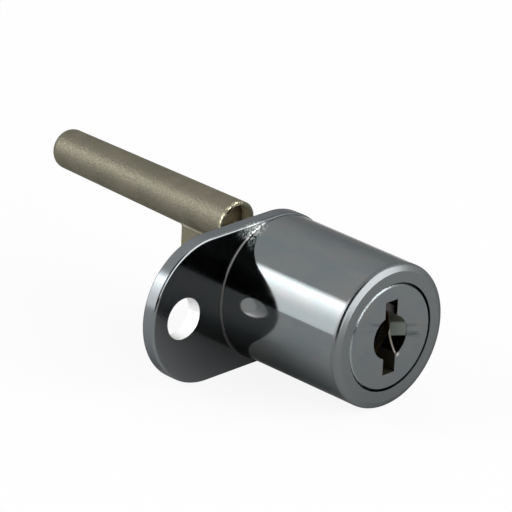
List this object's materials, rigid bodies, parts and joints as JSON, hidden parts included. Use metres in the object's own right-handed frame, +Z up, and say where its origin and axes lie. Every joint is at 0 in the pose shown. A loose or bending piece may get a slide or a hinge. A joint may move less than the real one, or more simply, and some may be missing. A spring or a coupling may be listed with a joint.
{
  "type": "desk lock",
  "caption": "Cylinder desk lock with a flanged barrel, a key plug with plate tumblers, and a crank whose off-centre rod swings half a turn to work a locking bar.",
  "frame": {"origin": "on the barrel's axis, in the plane of the flange's front face, which bears on the back of the drawer front", "axes": "-Y out of the keyway towards the person, +Y along the drive rod, +Z up along the keyway's blade slots, -X towards the flange's ear"},
  "size_m": [0.0309, 0.0599, 0.0194],
  "materials": {
    "chromed_zinc": "bright chrome plate on a polished zinc die casting",
    "chromed_plug": "chrome plate on a zinc die casting, its face slightly satin",
    "nickelled_zinc": "satin nickel plate on a zinc die casting",
    "pin_steel": "plain steel pin",
    "plate_brass": "stamped brass",
    "spring_steel": "spring wire"
  },
  "bodies": {
    "housing": {"housing": "chromed_zinc"},
    "plug": {"plug": "chromed_plug", "crank": "nickelled_zinc", "crank_pin": "pin_steel", "plate_spring_1": "spring_steel", "plate_spring_2": "spring_steel", "plate_spring_3": "spring_steel", "plate_spring_4": "spring_steel", "plate_spring_5": "spring_steel", "plate_spring_6": "spring_steel", "plate_spring_7": "spring_steel", "plate_spring_8": "spring_steel"},
    "plate_1": {"plate_1": "plate_brass"},
    "plate_2": {"plate_2": "plate_brass"},
    "plate_3": {"plate_3": "plate_brass"},
    "plate_4": {"plate_4": "plate_brass"},
    "plate_5": {"plate_5": "plate_brass"},
    "plate_6": {"plate_6": "plate_brass"},
    "plate_7": {"plate_7": "plate_brass"},
    "plate_8": {"plate_8": "plate_brass"}
  },
  "joints": [
    {"name": "plug_turn", "type": "hinge", "parent": "housing", "child": "plug", "pos_m": [0, 0, 0], "axis": [0, 1, 0], "range_deg": [0, 180]},
    {"name": "plate_1_slide", "type": "slide", "parent": "plug", "child": "plate_1", "axis": [0, 0, 1], "range_m": [0, 0.0009], "stiffness_N_per_m": 100, "springref_m": 0.004, "deforming": ["plate_spring_1"]},
    {"name": "plate_2_slide", "type": "slide", "parent": "plug", "child": "plate_2", "axis": [0, 0, -1], "range_m": [0, 0.0009], "stiffness_N_per_m": 100, "springref_m": 0.004, "deforming": ["plate_spring_2"]},
    {"name": "plate_3_slide", "type": "slide", "parent": "plug", "child": "plate_3", "axis": [0, 0, 1], "range_m": [0, 0.0009], "stiffness_N_per_m": 100, "springref_m": 0.004, "deforming": ["plate_spring_3"]},
    {"name": "plate_4_slide", "type": "slide", "parent": "plug", "child": "plate_4", "axis": [0, 0, -1], "range_m": [0, 0.0009], "stiffness_N_per_m": 100, "springref_m": 0.004, "deforming": ["plate_spring_4"]},
    {"name": "plate_5_slide", "type": "slide", "parent": "plug", "child": "plate_5", "axis": [0, 0, 1], "range_m": [0, 0.0009], "stiffness_N_per_m": 100, "springref_m": 0.004, "deforming": ["plate_spring_5"]},
    {"name": "plate_6_slide", "type": "slide", "parent": "plug", "child": "plate_6", "axis": [0, 0, -1], "range_m": [0, 0.0009], "stiffness_N_per_m": 100, "springref_m": 0.004, "deforming": ["plate_spring_6"]},
    {"name": "plate_7_slide", "type": "slide", "parent": "plug", "child": "plate_7", "axis": [0, 0, 1], "range_m": [0, 0.0009], "stiffness_N_per_m": 100, "springref_m": 0.004, "deforming": ["plate_spring_7"]},
    {"name": "plate_8_slide", "type": "slide", "parent": "plug", "child": "plate_8", "axis": [0, 0, -1], "range_m": [0, 0.0009], "stiffness_N_per_m": 100, "springref_m": 0.004, "deforming": ["plate_spring_8"]}
  ]
}
